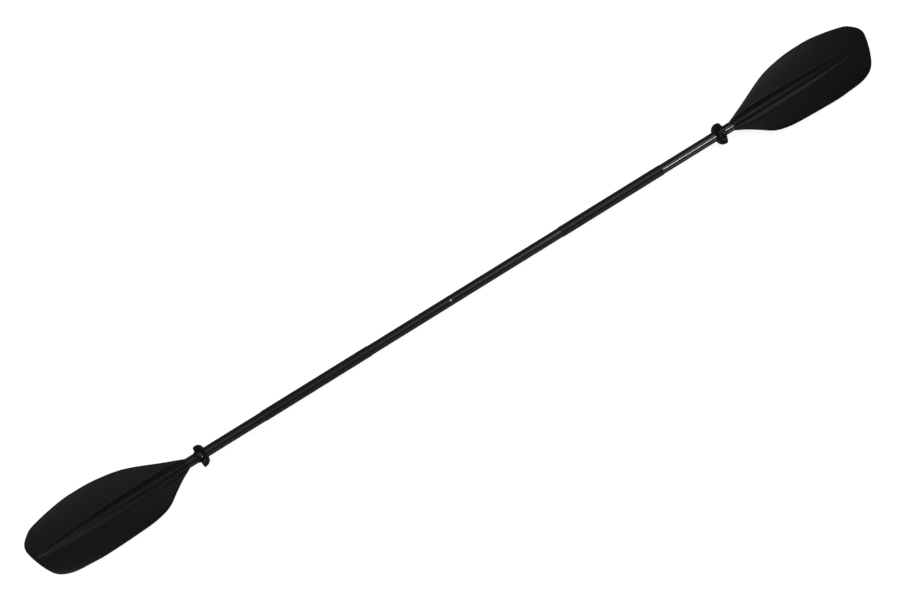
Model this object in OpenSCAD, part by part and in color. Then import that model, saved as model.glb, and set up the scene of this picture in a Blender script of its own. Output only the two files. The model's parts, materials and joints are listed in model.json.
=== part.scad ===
// Four-piece kayak paddle, assembled and lying on its blade tips with the ribbed blade backs up.
// X runs along the shaft, +Y is the side of the long blade edge and +Z is the ribbed side.
// The origin is on the shaft axis where the two half shafts meet.

/* [Paddle] */
// Length from tip to tip
paddle_len = 2300; // [2200:10:2400]
// Length of each blade outside the shaft
blade_len = 407; // [385:1:425]

/* [Shaft] */
// Outside diameter of the shaft tube
tube_d = 24; // [22:0.5:28]
// Wall thickness of the shaft tube
tube_wall = 1.2; // [1:0.1:2]
// Depth of the keyed band under each grip sleeve
grip_relief = 0.2; // [0.2:0.05:0.4]
// Length of the bevel at the free edges of the tubes
tube_bevel = 0.8; // [0.6:0.1:1]

/* [Grips] */
// Distance from the middle of the shaft to each grip
grip_start = 260; // [220:1:300]
// Length of each grip sleeve
grip_len = 283; // [240:1:320]
// Outside diameter of the grip sleeve
grip_d = 25.8; // [25:0.1:30]

/* [Drip rings] */
// Outside diameter of the cup's rim
ring_d = 56; // [45:1:70]
// Outside diameter of the hub
hub_d = 28; // [27.5:0.1:32]
// Length of the hub
hub_len = 25; // [22:1:30]
// Depth of the cup
cup_depth = 17; // [8:1:18]
// Thickness of the cup's wall
cup_wall = 2; // [1.5:0.1:3]
// Distance from the tube's outer end to the middle of the hub
ring_from_end = 36.5; // [35:0.5:60]

/* [Blades] */
// Half thickness of the blade plate
plate_half = 1.6; // [1.2:0.1:2.5]
// Diameter of the blade's neck
neck_d = 25.2; // [25:0.1:28]
// Length of the neck that holds the spigot
socket_len = 60; // [40:1:80]
// Radius of the rib's round crown
rib_crown_r = 16.5; // [14:0.5:22]
// Radius of the hollow at the rib's foot
rib_fillet_r = 8; // [5:0.5:16]
// Radius of the crown where the rib runs out near the tip
rib_tip_r = 9; // [8:0.5:14]
// Drop of the tip below the shaft axis
spoon_drop = 28; // [0:1:32]
// Drop of the long edges below the centre line
edge_drop = 4.5; // [0:0.5:5]

/* [Take-apart joints] */
// Length of each blade spigot inside the shaft
spigot_len = 80; // [70:1:90]
// Length of the centre ferrule inside the left half shaft
ferrule_len = 75; // [70:1:90]
// Wall thickness of the spigots and the ferrule
spigot_wall = 2.6; // [2.4:0.1:3]
// Radial clearance of the sliding fits
fit_gap = 0.05; // [0.02:0.01:0.08]
// Distance from the blade's shoulder to its snap button
blade_button_at = 33; // [30:1:36]
// Angle of the blade buttons from the ribbed side
blade_button_angle = 37; // [0:1:60]
// Distance from the shaft's middle to the centre snap button
centre_button_at = 42; // [36:1:46]
// Angle between the feather holes
feather_step = 60; // [30:5:60]
// Diameter of the snap buttons
button_d = 7; // [6:0.1:7]
// Height of a button above the tube
button_proud = 1.2; // [0.8:0.1:1.3]
// Clearance of a button in its hole
button_gap = 0.15; // [0.1:0.05:0.3]

/* [Foam bulkheads] */
// Length of each foam bulkhead
foam_len = 40; // [20:1:60]
// Distance from the end of a spigot to the foam
foam_gap = 15; // [5:1:30]

/* [Hidden] */

round_fn = 96;
eps = 0.01;

tube_r = tube_d / 2;
tube_bore_r = tube_r - tube_wall;
tube_len = paddle_len / 2 - blade_len;
grip_end = grip_start + grip_len;
spigot_r = tube_bore_r - fit_gap;
spigot_bore_r = spigot_r - spigot_wall;
neck_r = neck_d / 2;
hole_r = button_d / 2 + button_gap;
button_top_r = tube_r + button_proud;

// the blade outline, from the neck to just short of the tip, as [distance from the tube, half width]
long_edge = [[0, neck_r], [25, 22.9], [50, 33.3], [111, 59.8], [151, 71.8],
    [200, 79.5], [243, 81.5], [286, 79.9], [350, 69], [385, 56.3]];
short_edge = [[0, neck_r], [25, 25.8], [50, 41.8], [80, 61.6], [109, 70.6],
    [149, 75.4], [243, 78.6], [289, 77.1], [347, 70], [383, 44.5]];
tip = [blade_len, 24.3];

blade_stations = 38;
blade_strips = 28;
rib_ends_at = 397;
rib_zone = 23;

// ---- shaft ----

module round_bar(r, from, to) {
    translate([from, 0, 0])
        rotate([0, 90, 0])
            cylinder(r = r, h = to - from, $fn = round_fn);
}

module bevelled_bar(r, from, to, bevel_from, bevel_to) {
    translate([from, 0, 0])
        rotate([0, 90, 0])
            rotate_extrude($fn = round_fn)
                polygon([
                    [0, 0],
                    [r - bevel_from / 2, 0],
                    [r, bevel_from],
                    [r, to - from - bevel_to],
                    [r - bevel_to / 2, to - from],
                    [0, to - from]
                ]);
}

// a radial hole at x, turned from +Z towards +Y
module button_hole(x, angle) {
    translate([x, 0, 0])
        rotate([-angle, 0, 0])
            cylinder(r = hole_r, h = tube_r * 2, $fn = round_fn);
}

// half shaft along +X, from the middle to the blade end
module tube_body(inner_bevel) {
    difference() {
        bevelled_bar(tube_r, 0, tube_len, inner_bevel, tube_bevel);
        round_bar(tube_bore_r, -1, tube_len + 1);
        difference() {
            round_bar(tube_r + 1, grip_start, grip_end);
            round_bar(tube_r - grip_relief, grip_start - 1, grip_end + 1);
        }
    }
}

module shaft_tube_left() {
    color([0.12, 0.11, 0.10])
        difference() {
            mirror([1, 0, 0]) tube_body(tube_bevel);
            for (turn = [-feather_step, 0, feather_step])
                button_hole(-centre_button_at, turn);
            button_hole(-tube_len + blade_button_at, -blade_button_angle);
        }
}

module shaft_tube_right() {
    color([0.12, 0.11, 0.10])
        difference() {
            tube_body(0);
            button_hole(tube_len - blade_button_at, blade_button_angle);
        }
}

// heat-shrunk sleeve with softly tapered ends
module grip_body() {
    sleeve_bore_r = tube_r - grip_relief + 0.01;
    end_taper = 1.5;
    translate([grip_start, 0, 0])
        rotate([0, 90, 0])
            rotate_extrude($fn = round_fn)
                polygon([
                    [sleeve_bore_r, eps],
                    [tube_r + 0.3, eps],
                    [grip_d / 2, end_taper],
                    [grip_d / 2, grip_len - end_taper],
                    [tube_r + 0.3, grip_len - eps],
                    [sleeve_bore_r, grip_len - eps]
                ]);
}

module grip_sleeve_left() {
    color([0.14, 0.13, 0.14]) mirror([1, 0, 0]) grip_body();
}

module grip_sleeve_right() {
    color([0.14, 0.13, 0.14]) grip_body();
}

// foam plug that keeps water out of the tube, starting at x
module foam_plug(x) {
    color([0.85, 0.85, 0.82])
        round_bar(tube_bore_r - fit_gap, x, x + foam_len);
}

module foam_bulkhead_left_outer() {
    foam_plug(-tube_len + spigot_len + foam_gap);
}

module foam_bulkhead_left_inner() {
    foam_plug(-ferrule_len - foam_gap - foam_len);
}

module foam_bulkhead_right_outer() {
    foam_plug(tube_len - spigot_len - foam_gap - foam_len);
}

module foam_bulkhead_right_inner() {
    foam_plug(socket_len + foam_gap);
}

// ---- drip rings ----

// Profile of a drip ring: x is the radius and y runs towards the blade.
// The cup opens towards the blade, and the hub has a hollow that clears the snap button.
function cup_point(turn, offset) = [
    hub_d / 2 + (ring_d / 2 - hub_d / 2 - offset) * sin(turn),
    -hub_len / 2 + offset + cup_depth * (1 - cos(turn))
];

module ring_profile() {
    bore_r = tube_r + fit_gap;
    hollow_r = button_top_r + 0.15;
    hub_lip = 4;
    hollow_half = hub_len / 2 - hub_lip;
    cup_steps = 12;
    lip_round = 0.6;
    outer_cup = [for (i = [1 : cup_steps]) cup_point(90 * i / cup_steps, 0)];
    inner_cup = [for (i = [cup_steps : -1 : 1]) cup_point(90 * i / cup_steps, cup_wall)];
    rim_y = outer_cup[cup_steps - 1][1];
    rim_r = ring_d / 2;
    polygon(concat(
        [
            [bore_r, -hub_len / 2],
            [hub_d / 2, -hub_len / 2]
        ],
        outer_cup,
        [
            [rim_r, rim_y + cup_wall - lip_round],
            [rim_r - lip_round, rim_y + cup_wall],
            [rim_r - cup_wall + lip_round, rim_y + cup_wall]
        ],
        inner_cup,
        [
            [hub_d / 2, -hub_len / 2 + cup_wall],
            [hub_d / 2, hub_len / 2 - lip_round],
            [hub_d / 2 - lip_round, hub_len / 2],
            [bore_r, hub_len / 2],
            [bore_r, hollow_half],
            [hollow_r, hollow_half - 1],
            [hollow_r, -hollow_half + 1],
            [bore_r, -hollow_half]
        ]
    ));
}

module ring_body() {
    translate([tube_len - ring_from_end, 0, 0])
        rotate([0, 90, 0])
            rotate_extrude($fn = round_fn)
                ring_profile();
}

module drip_ring_left() {
    color([0.07, 0.07, 0.08]) mirror([1, 0, 0]) ring_body();
}

module drip_ring_right() {
    color([0.07, 0.07, 0.08]) ring_body();
}

// ---- spigots, ferrule, bungs and snap clips ----

// sleeve from the bonded end to the free end, with one button hole
module spigot_body(from, to, button_x, angle) {
    difference() {
        bevelled_bar(spigot_r, from, to, tube_bevel, tube_bevel);
        round_bar(spigot_bore_r, from - 1, to + 1);
        button_hole(button_x, angle);
    }
}

module blade_spigot_left() {
    color([0.07, 0.22, 0.19])
        spigot_body(-tube_len - socket_len + 1, -tube_len + spigot_len,
            -tube_len + blade_button_at, -blade_button_angle);
}

module blade_spigot_right() {
    color([0.07, 0.22, 0.19])
        spigot_body(tube_len - spigot_len, tube_len + socket_len - 1,
            tube_len - blade_button_at, blade_button_angle);
}

module centre_ferrule() {
    color([0.22, 0.24, 0.27])
        spigot_body(-ferrule_len, socket_len, -centre_button_at, 0);
}

// rubber bung that closes the end of a spigot, with its flange at x = 0 facing -X
module bung_body() {
    flange = 2;
    plug_len = 8;
    translate([-flange, 0, 0])
        rotate([0, 90, 0])
            rotate_extrude($fn = round_fn)
                polygon([
                    [0, 0],
                    [spigot_r - 1.5, 0],
                    [spigot_r - 0.5, 1],
                    [spigot_r - 0.5, flange - eps],
                    [spigot_bore_r - fit_gap, flange - eps],
                    [spigot_bore_r - fit_gap, flange + plug_len - 1],
                    [spigot_bore_r - 1, flange + plug_len],
                    [0, flange + plug_len]
                ]);
}

module blade_bung_left() {
    color([0.1, 0.1, 0.1])
        translate([-tube_len + spigot_len, 0, 0]) mirror([1, 0, 0]) bung_body();
}

module blade_bung_right() {
    color([0.1, 0.1, 0.1])
        translate([tube_len - spigot_len, 0, 0]) bung_body();
}

module centre_bung() {
    color([0.1, 0.1, 0.1])
        translate([-ferrule_len, 0, 0]) bung_body();
}

// a straight length of spring strip, seen from its edge
module strip_side(a, b, thick) {
    run = b - a;
    translate(a)
        rotate(atan2(run[1], run[0]))
            translate([0, -thick / 2])
                square([norm(run), thick]);
    translate(a) circle(d = thick, $fn = 24);
    translate(b) circle(d = thick, $fn = 24);
}

module strip_piece(width) {
    rotate([90, 0, 0])
        translate([0, 0, -width / 2])
            linear_extrude(width)
                children();
}

// V-shaped spring strip with its button drawn up at the end of the upper leg.
// The button is at x = 0 and points to +Z, and the closed end of the V is towards +X.
module clip_body() {
    strip = 0.6;
    leg_width = 7;
    foot_width = 4;
    bend_x = 20;
    bend_r = 2.2;
    knee_x = 6;
    top_z = sqrt(pow(spigot_bore_r, 2) - pow(leg_width / 2, 2)) - 0.1 - strip / 2;
    foot_z = -(sqrt(pow(spigot_bore_r, 2) - pow(foot_width / 2, 2)) - 0.1 - strip / 2);
    dome = 1.6;
    dome_r = (pow(button_d / 2, 2) + pow(dome, 2)) / (2 * dome);
    strip_piece(leg_width) {
        strip_side([-4, top_z], [knee_x, top_z], strip);
        strip_side([knee_x, top_z], [bend_x, bend_r], strip);
        translate([bend_x, 0])
            difference() {
                circle(r = bend_r + strip / 2, $fn = 48);
                circle(r = bend_r - strip / 2, $fn = 48);
                translate([-10, -5]) square([10, 10]);
            }
    }
    strip_piece(foot_width)
        strip_side([bend_x, -bend_r], [-2, foot_z], strip);
    cylinder(d = button_d, h = button_top_r - dome, $fn = round_fn);
    translate([0, 0, button_top_r - dome])
        rotate_extrude($fn = round_fn)
            intersection() {
                translate([0, dome - dome_r]) circle(r = dome_r, $fn = round_fn);
                square([button_d / 2, dome]);
            }
}

module snap_clip(x, angle, flip) {
    color([0.75, 0.75, 0.77])
        translate([x, 0, 0])
            rotate([-angle, 0, 0])
                mirror([flip, 0, 0])
                    clip_body();
}

module blade_snap_clip_left() {
    snap_clip(-tube_len + blade_button_at, -blade_button_angle, 0);
}

module blade_snap_clip_right() {
    snap_clip(tube_len - blade_button_at, blade_button_angle, 1);
}

module centre_snap_clip() {
    snap_clip(-centre_button_at, 0, 1);
}

// ---- blades ----

function mix(a, b, t) = a + (b - a) * t;
function clamp01(t) = max(0, min(1, t));
function ease(from, to, x) = let (t = clamp01((x - from) / (to - from))) t * t * (3 - 2 * t);

// Catmull-Rom curve through the outline, from the short edge's root round the tip to the long edge's root
outline = concat(
    [for (p = short_edge) [p[0], -p[1]]],
    [tip],
    [for (i = [len(long_edge) - 1 : -1 : 0]) long_edge[i]]
);
tip_index = len(short_edge);

function outline_knot(i) =
    i < 0 ? 2 * outline[0] - outline[1] :
    i >= len(outline) ? 2 * outline[len(outline) - 1] - outline[len(outline) - 2] :
    outline[i];

function curve(a, b, c, d, t) =
    (2 * b + (c - a) * t + (2 * a - 5 * b + 4 * c - d) * t * t + (3 * b - a - 3 * c + d) * t * t * t) / 2;

function outline_at(s) =
    let (i = min(floor(s), len(outline) - 2))
    curve(outline_knot(i - 1), outline_knot(i), outline_knot(i + 1), outline_knot(i + 2), s - i);

// half heights of the blade at u from the tube: the ridge on the back and the shorter one on the face
function plate_at(u) = plate_half * ease(0, 25, u);
function crest(u, from, to) = mix(neck_r, plate_half, pow(clamp01((u - from) / (to - from)), 2.5));

// height of a ridge above the plate: a round crown that runs out through a hollow fillet
function ridge(u, y, height) =
    let (
        h = height - plate_at(u),
        narrowing = ease(140, rib_ends_at, u),
        crown = mix(neck_r, mix(rib_crown_r, rib_tip_r, narrowing), ease(0, socket_len, u)),
        fillet = mix(eps, rib_fillet_r, ease(0, socket_len, u)),
        turn = acos(max(0, 1 - h / (crown + fillet))),
        foot = (crown + fillet) * sin(turn)
    )
    abs(y) < crown * sin(turn) ? h - crown + sqrt(crown * crown - y * y) :
    abs(y) < foot ? fillet - sqrt(fillet * fillet - pow(foot - abs(y), 2)) :
    0;
function spine_z(u) = -spoon_drop * pow(max(0, u - socket_len) / (blade_len - socket_len), 2);
function droop(u, y) = edge_drop * ease(20, 120, u) * pow(y / 88, 2);

// plate thickness at a share w of the way across
function plate_z(u, w) = plate_at(u) * sqrt(max(0, 1 - pow(abs(2 * w - 1), 12)));
function back_z(u, y, w) =
    spine_z(u) - droop(u, y) + plate_z(u, w) + ridge(u, y, crest(u, 45, rib_ends_at));
function face_z(u, y, w) =
    spine_z(u) - droop(u, y) - plate_z(u, w) - ridge(u, y, crest(u, 62, 210));

// shares across the blade: close together over the rib and at the edges
function share(j, centre, rib) =
    let (t = 2 * j / blade_strips - 1)
    abs(t) < 0.5 ? centre + rib * t * 2 :
    t > 0 ? mix(centre + rib, 1, sin(90 * (t * 2 - 1))) :
    mix(centre - rib, 0, sin(90 * (-t * 2 - 1)));

function blade_ring(i) =
    let (
        s = tip_index * (1 - pow(1 - i / blade_stations, 1.25)),
        low = outline_at(s),
        high = outline_at(2 * tip_index - s),
        span = high[1] - low[1],
        centre = max(0.2, min(0.8, -low[1] / span)),
        rib = min(rib_zone / span, 0.19),
        back = [for (j = [0 : blade_strips])
            let (w = share(j, centre, rib), p = mix(low, high, w))
            [p[0], p[1], back_z(p[0], p[1], w)]],
        face = [for (j = [blade_strips - 1 : -1 : 1])
            let (w = share(j, centre, rib), p = mix(low, high, w))
            [p[0], p[1], face_z(p[0], p[1], w)]]
    )
    concat(back, face);

// one blade along +X, with its neck's end at x = 0
module blade_shell() {
    around = 2 * blade_strips;
    points = concat(
        [for (i = [0 : blade_stations - 1]) each blade_ring(i)],
        [[tip[0], tip[1], spine_z(tip[0]) - droop(tip[0], tip[1])]]
    );
    last = (blade_stations - 1) * around;
    sides = [for (i = [0 : blade_stations - 2], j = [0 : around - 1])
        let (
            a = i * around + j,
            b = i * around + (j + 1) % around,
            c = a + around,
            d = b + around
        )
        each [[a, b, d], [a, d, c]]];
    root_cap = [[for (j = [around - 1 : -1 : 0]) j]];
    tip_fan = [for (j = [0 : around - 1]) [last + j, last + (j + 1) % around, len(points) - 1]];
    polyhedron(points, concat(sides, root_cap, tip_fan));
}

module blade_body() {
    difference() {
        blade_shell();
        round_bar(spigot_r + fit_gap, -1, socket_len);
    }
}

module blade_left() {
    color([0.11, 0.11, 0.115])
        translate([-tube_len, 0, 0]) mirror([1, 0, 0]) blade_body();
}

module blade_right() {
    color([0.11, 0.11, 0.115])
        translate([tube_len, 0, 0]) blade_body();
}

blade_left();
blade_spigot_left();
blade_bung_left();
blade_snap_clip_left();
blade_right();
blade_spigot_right();
blade_bung_right();
blade_snap_clip_right();
shaft_tube_left();
grip_sleeve_left();
drip_ring_left();
foam_bulkhead_left_outer();
foam_bulkhead_left_inner();
shaft_tube_right();
grip_sleeve_right();
drip_ring_right();
foam_bulkhead_right_outer();
foam_bulkhead_right_inner();
centre_ferrule();
centre_bung();
centre_snap_clip();
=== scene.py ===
import json
import math

import bpy
import numpy as np
from mathutils import Matrix, Vector


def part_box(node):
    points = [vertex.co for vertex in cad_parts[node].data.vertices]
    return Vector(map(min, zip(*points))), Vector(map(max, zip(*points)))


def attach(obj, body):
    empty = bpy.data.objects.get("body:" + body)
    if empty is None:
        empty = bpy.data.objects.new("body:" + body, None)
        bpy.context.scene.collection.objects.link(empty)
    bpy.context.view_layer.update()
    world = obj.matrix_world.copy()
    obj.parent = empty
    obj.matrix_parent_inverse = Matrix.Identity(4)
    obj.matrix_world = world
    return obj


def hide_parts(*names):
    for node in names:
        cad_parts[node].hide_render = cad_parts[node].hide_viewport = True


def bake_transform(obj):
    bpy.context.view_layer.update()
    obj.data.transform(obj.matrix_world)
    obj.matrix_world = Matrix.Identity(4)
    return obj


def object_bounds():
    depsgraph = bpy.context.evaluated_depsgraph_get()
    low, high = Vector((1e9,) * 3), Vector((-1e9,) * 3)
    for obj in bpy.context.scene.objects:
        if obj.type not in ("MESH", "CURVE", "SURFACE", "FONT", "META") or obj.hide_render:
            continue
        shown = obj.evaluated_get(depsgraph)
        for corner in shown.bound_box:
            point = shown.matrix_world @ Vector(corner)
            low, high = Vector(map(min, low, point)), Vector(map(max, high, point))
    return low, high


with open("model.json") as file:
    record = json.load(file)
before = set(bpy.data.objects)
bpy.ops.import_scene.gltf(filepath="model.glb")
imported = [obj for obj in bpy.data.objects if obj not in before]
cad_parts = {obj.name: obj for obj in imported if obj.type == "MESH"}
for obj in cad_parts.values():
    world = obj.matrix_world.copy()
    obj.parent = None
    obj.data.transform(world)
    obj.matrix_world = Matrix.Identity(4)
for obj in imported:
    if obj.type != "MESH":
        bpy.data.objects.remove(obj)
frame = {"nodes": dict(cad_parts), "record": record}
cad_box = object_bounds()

# Kayak paddle. X runs along the shaft, +Y is the long edge of the blades and +Z their ribbed backs.
# Shapes below are in millimetres and become metres when a mesh is made.
MM = 0.001

# ---- sizes taken from the frame ----

TUBE_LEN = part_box("shaft_tube_right")[1].x / MM
TUBE_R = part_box("shaft_tube_right")[1].y / MM
BLADE_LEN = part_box("blade_right")[1].x / MM - TUBE_LEN
GRIP_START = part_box("grip_sleeve_right")[0].x / MM
GRIP_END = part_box("grip_sleeve_right")[1].x / MM
GRIP_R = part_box("grip_sleeve_right")[1].y / MM
RING_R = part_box("drip_ring_right")[1].y / MM
RING_HALF = (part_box("drip_ring_right")[1].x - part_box("drip_ring_right")[0].x) / 2 / MM
RING_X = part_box("drip_ring_right")[0].x / MM + RING_HALF
SPIGOT_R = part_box("blade_spigot_right")[1].y / MM

SIDES = {"left": -1, "right": 1}


# ---- meshes ----

def mesh_piece(name, points, faces, mirror, sharp_angle):
    """A smooth-shaded mesh from points in mm along +X, mirrored to -X for the left side."""
    points = np.array(points, float) * MM
    if mirror:
        points[:, 0] *= -1
        faces = [face[::-1] for face in faces]
    mesh = bpy.data.meshes.new(name)
    mesh.from_pydata([tuple(p) for p in points], [], faces)
    mesh.polygons.foreach_set("use_smooth", [True] * len(mesh.polygons))
    mesh.set_sharp_from_angle(angle=math.radians(sharp_angle))
    mesh.validate()
    piece = bpy.data.objects.new(name, mesh)
    bpy.context.scene.collection.objects.link(piece)
    return piece


def quads(rows, around, closed_ends=False):
    """Faces of a tube of rings: ring r starts at point r * around.

    A closed_ends tube joins its last ring to its first.
    """
    faces = []
    last = rows if closed_ends else rows - 1
    for i in range(last):
        for j in range(around):
            a = i * around + j
            b = i * around + (j + 1) % around
            c = (i + 1) % rows * around + j
            d = (i + 1) % rows * around + (j + 1) % around
            faces.append((a, b, d, c))
    return faces


def lathe(name, profile, mirror, around, shape):
    """Turns a closed profile of (x, radius) about the X axis. shape(x, r, angle) moves a point."""
    points = []
    for x, r in profile:
        for j in range(around):
            angle = 2 * math.pi * j / around
            px, pr = shape(x, r, angle)
            points.append((px, pr * math.cos(angle), pr * math.sin(angle)))
    faces = quads(len(profile), around, closed_ends=True)
    return mesh_piece(name, points, faces, mirror, 35)


def arc(cx, cr, radius, start, end, steps):
    """Points of (x, radius) on an arc, with angles in degrees from +x towards larger radius."""
    turns = np.radians(np.linspace(start, end, steps))
    return [(cx + radius * math.cos(t), cr + radius * math.sin(t)) for t in turns]


# ---- blades ----

PLATE_HALF = 1.6
NECK_R = 12.6
SOCKET_LEN = 60
# distance over which the plate grows out of the neck
PLATE_GROWS = 25
# the rib: radii of its crown, its fillet and its crown near the tip, and how its crest falls
RIB_CROWN_R = 16.5
RIB_FILLET_R = 8
RIB_TIP_R = 9
RIB_FALL = 2.5
RIB_ZONE = 23
RIB_NARROWS_FROM = 140
RIB_ENDS_AT = 397
BACK_RIB_FROM = 45
FACE_RIB = (62, 210)
SPOON_DROP = 28
EDGE_DROP = 4.5
# the droop of the edges sets in between these distances, and is full at this half width
DROOP_FROM, DROOP_TO, DROOP_HALF_WIDTH = 20, 120, 88
# stations along the blade, closer together towards the tip, and strips across each of its sides
STATIONS = 150
STATION_POWER = 1.25
STRIPS = 84
# widest share of the way across that the close strips over the rib take up, and where the rib may run
RIB_SHARE = 0.19
CENTRE_SHARES = (0.2, 0.8)
# how squarely the plate's edge is rounded
EDGE_SQUARENESS = 12
# the scuffed rim: its width, and where along the blade it sets in
RIM_WIDTH = 6
RIM_FROM, RIM_TO = 60, 140
# the socket: gap to the spigot, and depth of the rounding at its mouth and floor
SOCKET_GAP = 0.1
SOCKET_ROUNDING = 0.4
MOUTH_X = 0.5
TIP_CLOSES_AT = 0.14

# the outline, as [distance from the tube, half width]
LONG_EDGE = [[0, NECK_R], [25, 22.9], [50, 33.3], [111, 59.8], [151, 71.8],
             [200, 79.5], [243, 81.5], [286, 79.9], [350, 69], [385, 56.3]]
SHORT_EDGE = [[0, NECK_R], [25, 25.8], [50, 41.8], [80, 61.6], [109, 70.6],
              [149, 75.4], [243, 78.6], [289, 77.1], [347, 70], [383, 44.5]]
TIP = [407, 24.3]
OUTLINE = np.array([[x, -y] for x, y in SHORT_EDGE] + [TIP] + LONG_EDGE[::-1], float)
TIP_INDEX = len(SHORT_EDGE)


def ease(start, end, x):
    """0 before start, 1 after end, and a smooth step between them."""
    t = np.clip((x - start) / (end - start), 0, 1)
    return t * t * (3 - 2 * t)


def mix(a, b, t):
    return a + (b - a) * t


def outline_at(s):
    """The Catmull-Rom curve through the outline at s, counted in outline points."""
    first = 2 * OUTLINE[0] - OUTLINE[1]
    last = 2 * OUTLINE[-1] - OUTLINE[-2]
    knots = np.vstack([first, OUTLINE, last])
    i = min(int(s), len(OUTLINE) - 2)
    a, b, c, d = knots[i:i + 4]
    t = s - i
    square = (2 * a - 5 * b + 4 * c - d) * t ** 2
    cube = (3 * b - a - 3 * c + d) * t ** 3
    return (2 * b + (c - a) * t + square + cube) / 2


def plate_at(u):
    """Half the plate's thickness at a distance from the tube."""
    return PLATE_HALF * ease(0, PLATE_GROWS, u)


def ridge(u, y, start, end):
    """Height of the rib above the plate: a round crown that runs out through a hollow fillet.

    Its crest falls from the neck's height at start to nothing at end.
    """
    crest = mix(NECK_R, PLATE_HALF, np.clip((u - start) / (end - start), 0, 1) ** RIB_FALL)
    height = np.maximum(crest - plate_at(u), 0)
    narrowing = ease(RIB_NARROWS_FROM, RIB_ENDS_AT, u)
    crown = mix(NECK_R, mix(RIB_CROWN_R, RIB_TIP_R, narrowing), ease(0, SOCKET_LEN, u))
    fillet = mix(0.01, RIB_FILLET_R, ease(0, SOCKET_LEN, u))
    turn = np.arccos(np.clip(1 - height / (crown + fillet), -1, 1))
    foot = (crown + fillet) * np.sin(turn)
    away = np.abs(y)
    on_crown = height - crown + np.sqrt(np.maximum(0, crown ** 2 - away ** 2))
    on_fillet = fillet - np.sqrt(np.maximum(0, fillet ** 2 - (foot - away) ** 2))
    return np.where(away < crown * np.sin(turn), on_crown, np.where(away < foot, on_fillet, 0))


def blade_middle(u, y):
    """Height of the blade's middle surface: the spoon along it and the droop of its long edges."""
    spoon = -SPOON_DROP * (np.maximum(0, u - SOCKET_LEN) / (BLADE_LEN - SOCKET_LEN)) ** 2
    return spoon - EDGE_DROP * ease(DROOP_FROM, DROOP_TO, u) * (y / DROOP_HALF_WIDTH) ** 2


def shares(centre, rib):
    """Shares of the way across a blade, close together over the rib and at the edges."""
    t = np.linspace(-1, 1, STRIPS + 1)
    over_rib = centre + rib * t * 2
    above = mix(centre + rib, 1, np.sin(np.pi / 2 * np.clip(t * 2 - 1, 0, 1)))
    below = mix(centre - rib, 0, np.sin(np.pi / 2 * np.clip(-t * 2 - 1, 0, 1)))
    return np.where(np.abs(t) < 0.5, over_rib, np.where(t > 0, above, below))


def blade_ring(i):
    """Points round the blade at station i: across the back, then home along the face."""
    s = TIP_INDEX * (1 - (1 - i / STATIONS) ** STATION_POWER)
    low = outline_at(s)
    high = outline_at(2 * TIP_INDEX - s)
    span = high[1] - low[1]
    centre = np.clip(-low[1] / span, *CENTRE_SHARES)
    w = shares(centre, min(RIB_ZONE / span, RIB_SHARE))
    u = mix(low[0], high[0], w)
    y = mix(low[1], high[1], w)
    half = plate_at(u) * np.sqrt(np.maximum(0, 1 - np.abs(2 * w - 1) ** EDGE_SQUARENESS))
    middle = blade_middle(u, y)
    back = np.stack([u, y, middle + half + ridge(u, y, BACK_RIB_FROM, RIB_ENDS_AT)], 1)
    face = np.stack([u, y, middle - half - ridge(u, y, *FACE_RIB)], 1)
    return np.vstack([back, face[-2:0:-1]])


def rim_wear(u, y):
    """How close a point is to the blade's outline: 1 on it, 0 a rim's width inside it."""
    short_side = np.array([[x, -half] for x, half in SHORT_EDGE] + [TIP])
    long_side = np.array(LONG_EDGE + [TIP])
    low = np.interp(u, short_side[:, 0], short_side[:, 1])
    high = np.interp(u, long_side[:, 0], long_side[:, 1])
    gap = np.minimum(y - low, high - y)
    return np.clip(1 - gap / RIM_WIDTH, 0, 1) * ease(RIM_FROM, RIM_TO, u)


def blade_piece(side):
    """The moulded blade: stations from the neck to the tip, closed by the socket for the spigot."""
    rings = [blade_ring(i) for i in range(STATIONS)]
    around = 2 * STRIPS
    # the mouth: the end face runs in to the socket's bore, which ends in a flat floor
    mouth = []
    turns = np.arctan2(rings[0][:, 2], rings[0][:, 1])
    circle = np.stack([np.cos(turns), np.sin(turns)], 1)
    socket_r = SPIGOT_R + SOCKET_GAP
    floor_at = SOCKET_LEN - 1
    for x, r in ((0, NECK_R - MOUTH_X), (0, socket_r + SOCKET_ROUNDING), (SOCKET_ROUNDING, socket_r),
                 (floor_at, socket_r), (floor_at + SOCKET_ROUNDING, SPIGOT_R - SOCKET_ROUNDING)):
        mouth.append(np.hstack([np.full((around, 1), float(x)), circle * r]))
    rings[0][:, 0] = MOUTH_X
    tip = [BLADE_LEN - TIP_CLOSES_AT, TIP[1], blade_middle(*TIP)]
    points = np.vstack(mouth[::-1] + rings + [[tip]])
    rows = len(mouth) + STATIONS
    faces = [face[::-1] for face in quads(rows, around)]
    last = (rows - 1) * around
    faces += [(last + (j + 1) % around, last + j, len(points) - 1) for j in range(around)]
    faces.append(tuple(range(around)))
    points[:, 0] += TUBE_LEN
    piece = mesh_piece("blade_moulding_" + side, points, faces, SIDES[side] < 0, 50)
    # the finish scuffs the rim by this attribute
    wear = piece.data.attributes.new("rim", "FLOAT", "POINT")
    wear.data.foreach_set("value", rim_wear(points[:, 0] - TUBE_LEN, points[:, 1]))
    return piece


# ---- drip rings ----

HUB_R = 14.0
CUP_DEPTH = 17.0
CUP_WALL = 2.0
# the inner wall is drawn in by this share of the wall across, so that the cup thins towards its rim
CUP_THINNING = 0.9
RIM_BEAD_R = 1.3
BORE_LIP = 4.0
HOLLOW_R = TUBE_R + 1.35
# gap between the ring's bore and the tube it slides on
RING_GAP = 0.05
# the hub's bead: its radius, how proud of the hub it stands, and its distance from the blade end
BEAD_R = 5
BEAD_PROUD = 0.9
BEAD_FROM_END = 7
# the elliptical end of the hub: its length, and the thickness of the lip it falls to
END_LEN = 4.5
END_LIP = 0.5
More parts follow.
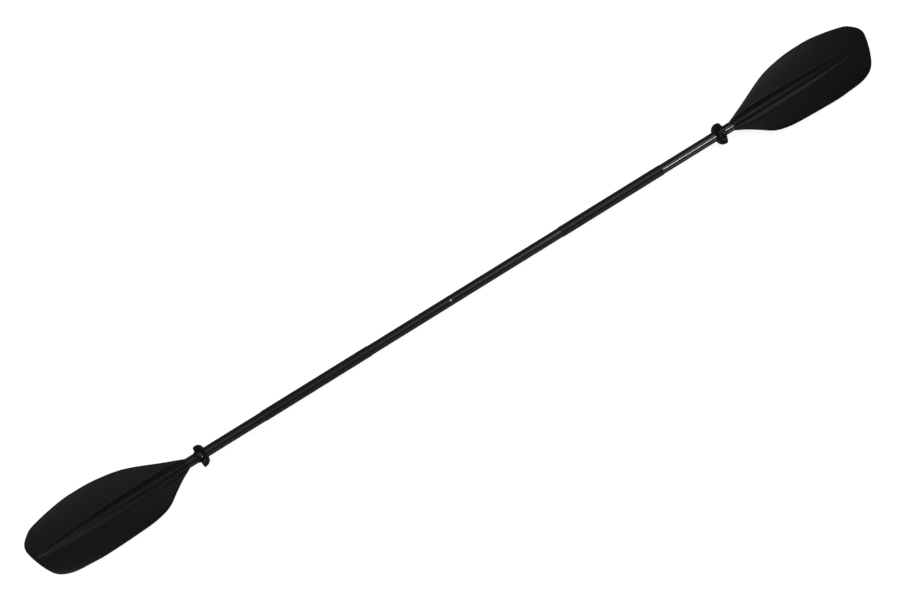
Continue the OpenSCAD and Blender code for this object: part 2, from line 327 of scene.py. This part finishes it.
# the soft cup: how far it leans towards the blade on its +Y side, waves, curls in at the rim and sags
CUP_LEAN = {"left": 0.4, "right": 1.8}
CUP_WAVE = 0.35
CUP_CURL = 2.6
CUP_SAG = 0.8
RING_AROUND = 192


def ring_piece(side):
    """Moulded rubber ring: a hub with a bead and a rounded end, and a flared cup open to the blade."""
    bore = TUBE_R + RING_GAP
    start = -RING_HALF
    turns = np.radians(np.linspace(4, 90, 24))
    flare = RING_R - HUB_R - 0.4
    outside = [(start + CUP_DEPTH * (1 - math.cos(t)), HUB_R + flare * math.sin(t)) for t in turns]
    inside = [(x + CUP_WALL * math.cos(t), r - CUP_THINNING * CUP_WALL * math.sin(t))
              for (x, r), t in zip(outside, turns)]
    rim = arc(outside[-1][0] + 0.9, RING_R - RIM_BEAD_R, RIM_BEAD_R, 150, -60, 12)
    # the hub past the cup: a bead, then an elliptical end that falls to a thin lip
    bead = arc(RING_HALF - BEAD_FROM_END, HUB_R + BEAD_PROUD - BEAD_R, BEAD_R, 125, 55, 14)
    end_x, end_r = RING_HALF - END_LEN, TUBE_R + END_LIP
    hub_end = [(end_x + END_LEN * math.sin(t), end_r + (HUB_R - end_r) * math.cos(t))
               for t in np.radians(np.linspace(0, 90, 14))]
    lip_start, lip_end = start + BORE_LIP, RING_HALF - BORE_LIP
    profile = (
        [(start + 0.5, bore), (start, bore + 0.5), (start, HUB_R - 1.2)]
        + arc(start + 1, HUB_R - 1.2, 1, 180, 110, 5)
        + outside[:-1] + rim + inside[:1:-1]
        + [(start + 3.4, HUB_R)] + bead + hub_end
        + [(RING_HALF, bore + 0.3), (RING_HALF - 0.3, bore), (lip_end, bore),
           (lip_end - 1, HOLLOW_R), (lip_start + 1, HOLLOW_R), (lip_start, bore)]
    )

    def lean(x, r, angle):
        # the soft cup leans, sags a little and curls in at the rim on its +Y side; the hub stays true
        free = max(0.0, (r - HUB_R - 1) / (RING_R - HUB_R))
        depth = min(1.0, max(0.0, (x - start) / CUP_DEPTH))
        curl = CUP_CURL * depth ** 3 * max(0.0, math.cos(angle)) ** 2
        shift = CUP_LEAN[side] * math.cos(angle) + CUP_WAVE * math.sin(2 * angle)
        return RING_X + x + free * shift, r - free * (curl + CUP_SAG * math.cos(angle))

    return lathe("drip_ring_moulding_" + side, profile, SIDES[side] < 0, RING_AROUND, lean)


# ---- grips ----

# how far the sleeve's inner face lies inside the tube's skin, so that no gap shows
GRIP_SUNK = 0.19
# the drawn-in ends: the length they take, and the share of the wall left at the very end
GRIP_LIP_LEN = 2.2
GRIP_LIP_SHARE = 0.25
# faint waves in the sleeve: radians per mm along it, how far the slow one snakes round it, in
# radians, their height, and the room left for them under the sleeve's greatest radius
GRIP_WAVES = (0.11, 0.29)
GRIP_SNAKING = 1.3
GRIP_WAVE_HEIGHT = 0.02
GRIP_HEADROOM = 0.05
GRIP_AROUND = 144


def grip_piece(side):
    """Heat-shrunk sleeve: it follows the tube with faint unevenness and draws in at both ends."""
    bore = TUBE_R - GRIP_SUNK
    wall = GRIP_R - GRIP_HEADROOM - TUBE_R
    outer = []
    # close stations at both ends, even ones between
    xs = np.concatenate([np.linspace(GRIP_START + 0.1, GRIP_START + 4, 14),
                         np.linspace(GRIP_START + 6, GRIP_END - 6, 110),
                         np.linspace(GRIP_END - 4, GRIP_END - 0.1, 14)])
    for x in xs:
        end = min(x - GRIP_START, GRIP_END - x)
        lip = mix(GRIP_LIP_SHARE, 1, math.sqrt(min(1.0, end / GRIP_LIP_LEN)))
        outer.append((x, TUBE_R + wall * lip))
    profile = [(xs[0], bore)] + outer + [(xs[-1], bore)]

    def shrink(x, r, angle):
        if r <= TUBE_R:
            return x, r
        slow = math.sin(x * GRIP_WAVES[0] + GRIP_SNAKING * math.sin(angle))
        quick = math.sin(x * GRIP_WAVES[1] + 2 * angle)
        return x, min(r + (slow + quick) * GRIP_WAVE_HEIGHT, GRIP_R)

    return lathe("grip_shrink_" + side, profile, SIDES[side] < 0, GRIP_AROUND, shrink)


# ---- materials ----

class Finish:
    """A node material, with short names for the nodes that the finishes share."""

    def __init__(self, name, **sockets):
        self.material = bpy.data.materials.new(name)
        self.material.use_nodes = True
        self.tree = self.material.node_tree
        self.tree.nodes.clear()
        out = self.tree.nodes.new("ShaderNodeOutputMaterial")
        self.shader = self.tree.nodes.new("ShaderNodeBsdfPrincipled")
        self.tree.links.new(self.shader.outputs["BSDF"], out.inputs["Surface"])
        self.place = self.tree.nodes.new("ShaderNodeTexCoord").outputs["Object"]
        for socket, value in sockets.items():
            self.shader.inputs[socket.replace("_", " ")].default_value = value

    def node(self, kind, inputs=None, **settings):
        made = self.tree.nodes.new("ShaderNode" + kind)
        for key, value in settings.items():
            setattr(made, key, value)
        for key, value in (inputs or {}).items():
            if isinstance(value, bpy.types.NodeSocket):
                self.tree.links.new(value, made.inputs[key])
            else:
                made.inputs[key].default_value = value
        return made

    def stretched(self, x, y, z):
        """The position with each axis scaled, so that a texture is drawn out along the short ones."""
        return self.node("Mapping", {"Vector": self.place, "Scale": (x, y, z)}).outputs["Vector"]

    def noise(self, place, scale, detail, roughness):
        made = self.node("TexNoise", {"Vector": place, "Scale": scale, "Detail": detail,
                                      "Roughness": roughness})
        return made.outputs["Fac"]

    def remap(self, value, low, high, start=0.3, end=0.7):
        """Stretches value from start..end to low..high. A noise's values are mostly from 0.3 to 0.7."""
        made = self.node("MapRange", {"Value": value, "From Min": start, "From Max": end,
                                      "To Min": low, "To Max": high})
        return made.outputs["Result"]

    def blend(self, share, first, second):
        """A colour between two colours or sockets."""
        made = self.node("Mix", {}, data_type="RGBA")
        for key, value in ((0, share), (6, first), (7, second)):
            if isinstance(value, bpy.types.NodeSocket):
                self.tree.links.new(value, made.inputs[key])
            else:
                made.inputs[key].default_value = value
        return made.outputs[2]

    def maths(self, operation, first, second=0.0):
        """One Math node."""
        return self.node("Math", {0: first, 1: second}, operation=operation).outputs["Value"]

    def bump(self, height, distance, strength, over=None):
        """A normal from a height, on top of the normal over."""
        inputs = {"Height": height, "Distance": distance, "Strength": strength}
        if over is not None:
            inputs["Normal"] = over
        return self.node("Bump", inputs).outputs["Normal"]

    def angle(self):
        """The turn about the shaft, from -0.5 to 0.5, and the place along it."""
        parts = self.node("SeparateXYZ", {"Vector": self.place})
        turn = self.maths("ARCTAN2", parts.outputs["Y"], parts.outputs["Z"])
        return self.maths("DIVIDE", turn, 2 * math.pi), parts.outputs["X"]

    def set(self, **links):
        """Links the shader's sockets, and returns the material."""
        for socket, value in links.items():
            self.tree.links.new(value, self.shader.inputs[socket.replace("_", " ")])
        return self.material


def colour(r, g, b):
    """An opaque linear colour."""
    return (r, g, b, 1.0)


def blade_plastic():
    """Satin injection-moulded plastic: cloudy flow marks, a fine spark-eroded grain and scuffed rims."""
    f = Finish("blade_plastic", Specular_IOR_Level=0.40)
    flow = f.noise(f.stretched(6, 26, 26), 1.0, 6.0, 0.6)
    grain = f.noise(f.place, 1500, 3.0, 0.7)
    cloud = f.noise(f.place, 9, 5.0, 0.6)
    scratch = f.noise(f.stretched(30, 900, 900), 1.0, 2.0, 0.5)
    rim = f.node("Attribute", attribute_name="rim").outputs["Fac"]
    scuff = f.maths("MULTIPLY", rim, f.remap(f.noise(f.place, 240, 6.0, 0.7), 0, 1, 0.52, 0.68))
    base = f.blend(f.remap(cloud, 0, 1), colour(0.0058, 0.0058, 0.006),
                   colour(0.0078, 0.0076, 0.0078))
    base = f.blend(f.maths("MULTIPLY", scuff, 0.5), base, colour(0.03, 0.03, 0.03))
    rough = f.maths("ADD", f.remap(flow, 0.30, 0.35), f.remap(scratch, 0, 0.03))
    rough = f.maths("ADD", rough, f.maths("MULTIPLY", scuff, 0.15))
    normal = f.bump(flow, 0.0006, 0.25)
    normal = f.bump(grain, 0.00008, 0.5, normal)
    return f.set(Base_Color=base, Roughness=rough, Normal=normal)


def shaft_alloy():
    """Black anodised drawn tube: gloss with faint draw lines along it and a brown cast."""
    f = Finish("shaft_alloy", IOR=1.62)
    draw = f.noise(f.stretched(1.5, 420, 420), 1.0, 3.0, 0.6)
    cloud = f.noise(f.place, 14, 5.0, 0.6)
    fine = f.noise(f.place, 2200, 2.0, 0.5)
    base = f.blend(f.remap(cloud, 0, 1), colour(0.0105, 0.0078, 0.0050),
                   colour(0.0140, 0.0108, 0.0072))
    rough = f.maths("ADD", f.remap(cloud, 0.13, 0.17), f.remap(draw, 0, 0.03))
    normal = f.bump(draw, 0.00001, 0.2)
    normal = f.bump(fine, 0.000002, 0.2, normal)
    return f.set(Base_Color=base, Roughness=rough, Normal=normal)


# the grip's print: threads round the sleeve, and radians of thread per metre along it
PRINT_TURNS = 60
PRINT_PER_METRE = 4600.0


def grip_rubber():
    """Matt heat-shrunk sleeve with a fine fabric-like print."""
    f = Finish("grip_sleeve", Specular_IOR_Level=0.62)
    turn, along = f.angle()
    around = f.maths("MULTIPLY", turn, 2 * math.pi * PRINT_TURNS)
    lengthwise = f.maths("MULTIPLY", along, PRINT_PER_METRE)
    threads = [f.maths("SINE", f.maths(way, around, lengthwise)) for way in ("ADD", "SUBTRACT")]
    weave = f.maths("MULTIPLY", *threads)
    fine = f.noise(f.place, 900, 4.0, 0.6)
    cloud = f.noise(f.place, 20, 5.0, 0.6)
    base = f.blend(f.remap(cloud, 0, 1), colour(0.0088, 0.0080, 0.0086),
                   colour(0.0118, 0.0108, 0.0114))
    rough = f.remap(fine, 0.33, 0.42)
    normal = f.bump(weave, 0.00004, 0.35)
    normal = f.bump(fine, 0.00006, 0.4, normal)
    return f.set(Base_Color=base, Roughness=rough, Normal=normal)


def drip_rubber():
    """Glossy black rubber with slight sink marks and dust-fine pitting."""
    f = Finish("drip_rubber", Specular_IOR_Level=0.42)
    sink = f.noise(f.place, 70, 3.0, 0.5)
    pits = f.noise(f.place, 1400, 3.0, 0.7)
    base = f.blend(f.remap(sink, 0, 1), colour(0.0022, 0.0022, 0.0026),
                   colour(0.004, 0.004, 0.0045))
    rough = f.remap(pits, 0.06, 0.1)
    normal = f.bump(sink, 0.0003, 0.2)
    normal = f.bump(pits, 0.00001, 0.3, normal)
    return f.set(Base_Color=base, Roughness=rough, Normal=normal)


# the laminates' winding: bundles round the tube, and radians of bundle per metre along it
WINDING_TURNS = 14
WINDING_PER_METRE = 1500.0


def wound_laminate(name, dark, light, low_rough, high_rough, coat):
    """Filament-wound glass laminate: two crossing sets of fibres seen through resin."""
    f = Finish(name, Coat_Weight=coat, Coat_Roughness=0.08)
    turn, along = f.angle()
    bundles = []
    for way in (1.0, -1.0):
        phase = f.maths("ADD", f.maths("MULTIPLY", turn, 2 * math.pi * WINDING_TURNS * way),
                        f.maths("MULTIPLY", along, WINDING_PER_METRE))
        phase = f.maths("ADD", phase, f.maths("MULTIPLY", f.noise(f.place, 60, 3.0, 0.5), 2.5))
        bundles.append(f.maths("SINE", phase))
    weave = f.maths("MAXIMUM", bundles[0], bundles[1])
    fibre = f.noise(f.stretched(60, 900, 900), 1.0, 4.0, 0.6)
    share = f.maths("MULTIPLY", f.remap(weave, 0, 1, -0.6, 1.0), f.remap(fibre, 0.4, 1.0))
    base = f.blend(share, dark, light)
    normal = f.bump(weave, 0.00004, 0.3)
    return f.set(Base_Color=base, Roughness=f.remap(fibre, low_rough, high_rough), Normal=normal)


def spring_steel():
    """Bright stainless strip, brushed along its length and lightly smudged."""
    f = Finish("spring_steel", Metallic=1.0)
    brush = f.noise(f.stretched(40, 2400, 2400), 1.0, 3.0, 0.6)
    smudge = f.noise(f.place, 120, 4.0, 0.6)
    base = f.blend(f.remap(smudge, 0, 1), colour(0.60, 0.60, 0.61), colour(0.72, 0.72, 0.73))
    rough = f.maths("ADD", f.remap(brush, 0.24, 0.34), f.remap(smudge, 0, 0.06))
    return f.set(Base_Color=base, Roughness=rough, Normal=f.bump(brush, 0.00002, 0.4))


def bung_rubber():
    """Matt bung rubber with bloom."""
    f = Finish("bung_rubber", Specular_IOR_Level=0.4)
    bloom = f.noise(f.place, 160, 5.0, 0.6)
    pits = f.noise(f.place, 1600, 3.0, 0.6)
    base = f.blend(f.remap(bloom, 0, 1), colour(0.012, 0.012, 0.012), colour(0.022, 0.022, 0.021))
    rough = f.remap(pits, 0.62, 0.8)
    return f.set(Base_Color=base, Roughness=rough, Normal=f.bump(pits, 0.00005, 0.5))


def closed_cell_foam():
    """Off-white closed-cell foam: small round cells cut open."""
    f = Finish("closed_cell_foam", Specular_IOR_Level=0.3)
    cells = f.node("TexVoronoi", {"Vector": f.place, "Scale": 900.0}).outputs["Distance"]
    cloud = f.noise(f.place, 60, 4.0, 0.6)
    base = f.blend(f.remap(cells, 0, 1, 0.1, 0.6), colour(0.74, 0.73, 0.70),
                   colour(0.52, 0.51, 0.48))
    base = f.blend(f.remap(cloud, 0, 0.35), base, colour(0.80, 0.79, 0.75))
    rough = f.remap(cells, 0.7, 0.9)
    return f.set(Base_Color=base, Roughness=rough, Normal=f.bump(cells, 0.0003, 0.6))


def floor_white():
    """Pale lit tabletop with the faintest cloudiness."""
    f = Finish("floor_white", Roughness=0.7, Specular_IOR_Level=0.2, Emission_Strength=0.97)
    cloud = f.noise(f.place, 3, 4.0, 0.5)
    base = f.blend(f.remap(cloud, 0, 1), colour(0.86, 0.86, 0.86), colour(0.89, 0.89, 0.89))
    return f.set(Base_Color=base, Emission_Color=base)


FINISHES = {
    "blade_plastic": blade_plastic(),
    "shaft_alloy": shaft_alloy(),
    "grip_sleeve": grip_rubber(),
    "drip_rubber": drip_rubber(),
    "spigot_laminate": wound_laminate("spigot_laminate", colour(0.004, 0.030, 0.024),
                                      colour(0.012, 0.075, 0.060), 0.22, 0.34, 0.6),
    "ferrule_laminate": wound_laminate("ferrule_laminate", colour(0.020, 0.023, 0.030),
                                       colour(0.045, 0.052, 0.064), 0.40, 0.55, 0.1),
    "spring_steel": spring_steel(),
    "bung_rubber": bung_rubber(),
    "closed_cell_foam": closed_cell_foam(),
}


def give_finish(piece, slot):
    """Leaves the slot's finish as the piece's only material."""
    piece.data.materials.clear()
    piece.data.materials.append(FINISHES[slot])


# the CAD nodes keep their shape and take the finish of their slot
for part in frame["record"]["subparts"]:
    node = frame["nodes"][part["node"]]
    for index in range(len(node.data.materials)):
        node.data.materials[index] = FINISHES[part["material_slot"]]

# what the small end light shines on
GLOSSY_PIECES = [frame["nodes"]["shaft_tube_left"], frame["nodes"]["shaft_tube_right"]]

# the blades, rings and grips are finer pieces that stand for their CAD nodes
for side in SIDES:
    blade, ring, grip = blade_piece(side), ring_piece(side), grip_piece(side)
    GLOSSY_PIECES.append(ring)
    for piece, body, node_name, slot in (
            (blade, "blade_" + side, "blade_" + side, "blade_plastic"),
            (ring, "ring_" + side, "drip_ring_" + side, "drip_rubber"),
            (grip, "shaft_" + side, "grip_sleeve_" + side, "grip_sleeve")):
        give_finish(piece, slot)
        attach(piece, body)
        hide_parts(node_name)

# the snap springs: each is a copy of its CAD node's mesh with the steel finish, standing in for the
# hidden node
for name, holder, clip in (("blade_snap_clip_left", "blade_left", "clip_left"),
                           ("blade_snap_clip_right", "blade_right", "clip_right"),
                           ("centre_snap_clip", "shaft_right", "clip_centre")):
    spring = bpy.data.objects.new("bending_" + name, frame["nodes"][name].data.copy())
    bpy.context.scene.collection.objects.link(spring)
    give_finish(spring, "spring_steel")
    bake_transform(spring)
    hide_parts(name)
    GLOSSY_PIECES.append(spring)


# ---- floor, lights and camera ----

# half the floor's width, and its gap under the paddle, in metres
FLOOR_HALF = 40.0
FLOOR_GAP = 0.0005
# how far out the softboxes over and beside the paddle are, in metres
STRIP_DISTANCE = 3.2
# softboxes in a row along the shaft, each as (from x, to x, width, radiance)
KEY_STRIP = ((-3.6, -2.2, 0.6, 1.25), (-2.2, -1.5, 0.6, 0.9), (1.5, 3.0, 0.6, 1.75))
OVERHEAD_STRIP = ((-1.6, 0.2, 2.3, 0.34), (0.2, 0.8, 2.3, 0.55), (0.8, 1.45, 2.3, 1.5))
LOW_STRIP = ((-3.6, -1.9, 0.8, 1.0), (-1.9, 1.3, 0.8, 0.5), (1.3, 3.1, 0.8, 1.5))


def add_floor():
    top = cad_box[0].z - FLOOR_GAP
    corners = [(x * FLOOR_HALF, y * FLOOR_HALF, top) for x, y in ((-1, -1), (1, -1), (1, 1), (-1, 1))]
    mesh = bpy.data.meshes.new("floor")
    mesh.from_pydata(corners, [], [(0, 1, 2, 3)])
    floor = bpy.data.objects.new("floor", mesh)
    bpy.context.scene.collection.objects.link(floor)
    floor.data.materials.append(floor_white())
    # the black gloss of the paddle mirrors the softboxes only
    floor.visible_glossy = False


def add_light(name, place, aim, size, radiance):
    """A rectangular softbox that faces a point."""
    lamp = bpy.data.lights.new(name, "AREA")
    lamp.shape = "RECTANGLE"
    lamp.size, lamp.size_y = size
    lamp.energy = radiance * math.pi * size[0] * size[1]
    light = bpy.data.objects.new(name, lamp)
    light.location = place
    light.rotation_euler = (Vector(aim) - Vector(place)).to_track_quat("-Z", "Y").to_euler()
    bpy.context.scene.collection.objects.link(light)
    return light


def add_strip(name, angle, sections):
    """A row of softboxes along the shaft, at an angle in degrees from overhead towards +Y."""
    y = STRIP_DISTANCE * math.sin(math.radians(angle))
    z = STRIP_DISTANCE * math.cos(math.radians(angle))
    for index, (start, end, width, radiance) in enumerate(sections):
        x = (start + end) / 2
        add_light(f"{name}_{index}", (x, y, z), (x, 0, 0), (end - start, width), radiance)


def add_world(strength):
    """A dim even fill."""
    world = bpy.data.worlds.new("studio")
    world.use_nodes = True
    world.node_tree.nodes["Background"].inputs["Color"].default_value = (1, 1, 1, 1)
    world.node_tree.nodes["Background"].inputs["Strength"].default_value = strength
    bpy.context.scene.world = world


def add_camera(target, distance, lean_along, lean_across, roll, lens):
    """A camera over the paddle: it leans along the shaft and across it, then rolls about its own axis."""
    along, across, turn = (math.radians(a) for a in (lean_along, lean_across, roll))
    view = Vector((math.sin(along), math.sin(across) * math.cos(along),
                   -math.cos(across) * math.cos(along)))
    view.normalize()
    right = view.cross(Vector((0, 1, 0))).normalized()
    up = right.cross(view)
    screen_x = right * math.cos(turn) + up * math.sin(turn)
    screen_y = up * math.cos(turn) - right * math.sin(turn)
    data = bpy.data.cameras.new("camera")
    data.lens = lens
    data.sensor_width = 36
    camera = bpy.data.objects.new("camera", data)
    place = Vector(target) - view * distance
    camera.matrix_world = Matrix((
        (screen_x.x, screen_y.x, -view.x, place.x),
        (screen_x.y, screen_y.y, -view.y, place.y),
        (screen_x.z, screen_y.z, -view.z, place.z),
        (0, 0, 0, 1)))
    bpy.context.scene.collection.objects.link(camera)
    bpy.context.scene.camera = camera


add_floor()
add_strip("key_softbox", 22, KEY_STRIP)
add_strip("overhead_softbox", 14, OVERHEAD_STRIP)
add_strip("low_softbox", -78, LOW_STRIP)
add_light("tip_softbox", (-3.0, -1.3, 2.4), (-1.1, 0, 0), (0.9, 0.9), 2.2)
# the small end light draws the bright streak along the right tube, and is kept off the satin blades
glossy_parts = bpy.data.collections.new("glossy_parts")
for piece in GLOSSY_PIECES:
    glossy_parts.objects.link(piece)
end_light = add_light("end_softbox", (1.55, -0.9, 2.9), (0.64, 0, 0), (0.7, 0.36), 25)
end_light.light_linking.receiver_collection = glossy_parts
add_world(0.11)
add_camera((-0.0419, 0.0015, 0), 3.45, 5.97, 2.5, -32.05, 60)
bpy.context.scene.view_settings.view_transform = "Standard"
